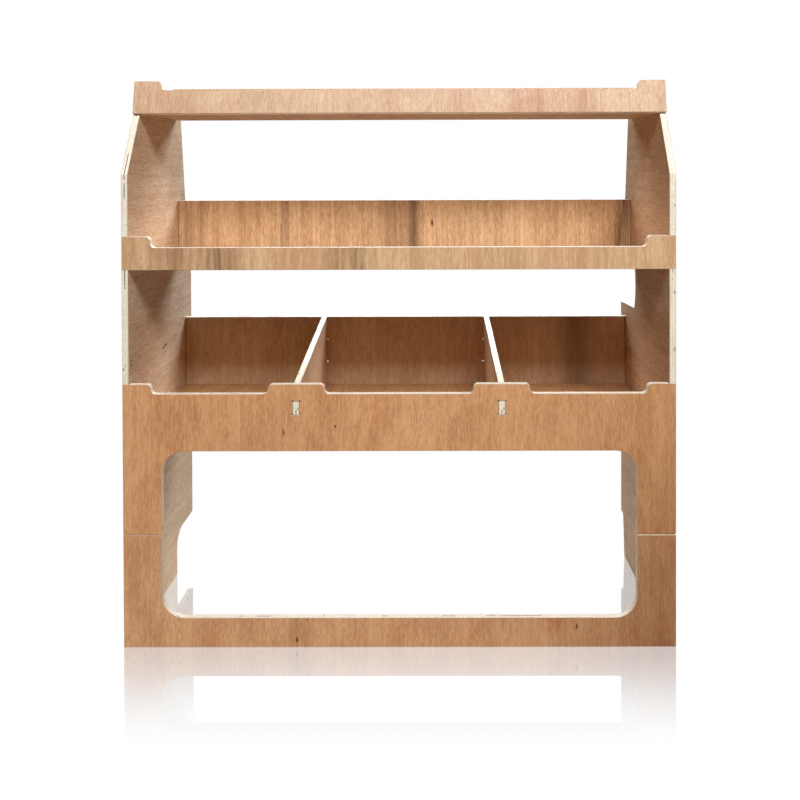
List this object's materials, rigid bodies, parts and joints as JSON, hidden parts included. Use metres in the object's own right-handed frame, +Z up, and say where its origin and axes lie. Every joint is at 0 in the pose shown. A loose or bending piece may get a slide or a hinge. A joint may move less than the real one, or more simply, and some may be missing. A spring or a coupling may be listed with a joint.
{
  "type": "plywood shelving rack",
  "caption": "Slot-together plywood rack with rear edges cut to follow a vehicle wall: lipped top and middle trays, divided bins, and an open bay behind a large framed opening.",
  "frame": {"origin": "on the floor, under the middle of the rack's box", "axes": "+Z up, -Y out of the front, +X to the right as seen from the front"},
  "size_m": [1, 0.35, 1.037],
  "materials": {
    "side_plywood": "satin hardwood veneer on pale birch plywood",
    "top_lip_plywood": "satin hardwood veneer on pale birch plywood",
    "middle_lip_plywood": "satin hardwood veneer on pale birch plywood",
    "fascia_plywood": "satin hardwood veneer on pale birch plywood",
    "frame_plywood": "satin hardwood veneer on pale birch plywood",
    "shelf_plywood": "satin hardwood veneer on pale birch plywood",
    "back_plywood": "satin hardwood veneer on pale birch plywood"
  },
  "bodies": {
    "root": {"left_side_panel": "side_plywood", "right_side_panel": "side_plywood", "top_shelf_front_lip": "top_lip_plywood", "middle_shelf_front_lip": "middle_lip_plywood", "bin_front_fascia": "fascia_plywood", "left_divider": "fascia_plywood", "right_divider": "fascia_plywood", "lower_front_frame": "frame_plywood", "top_shelf_base": "shelf_plywood", "middle_shelf_base": "shelf_plywood", "bin_base": "shelf_plywood", "top_shelf_back_panel": "back_plywood", "middle_shelf_back_panel": "back_plywood", "bin_back_panel": "back_plywood"}
  },
  "joints": []
}
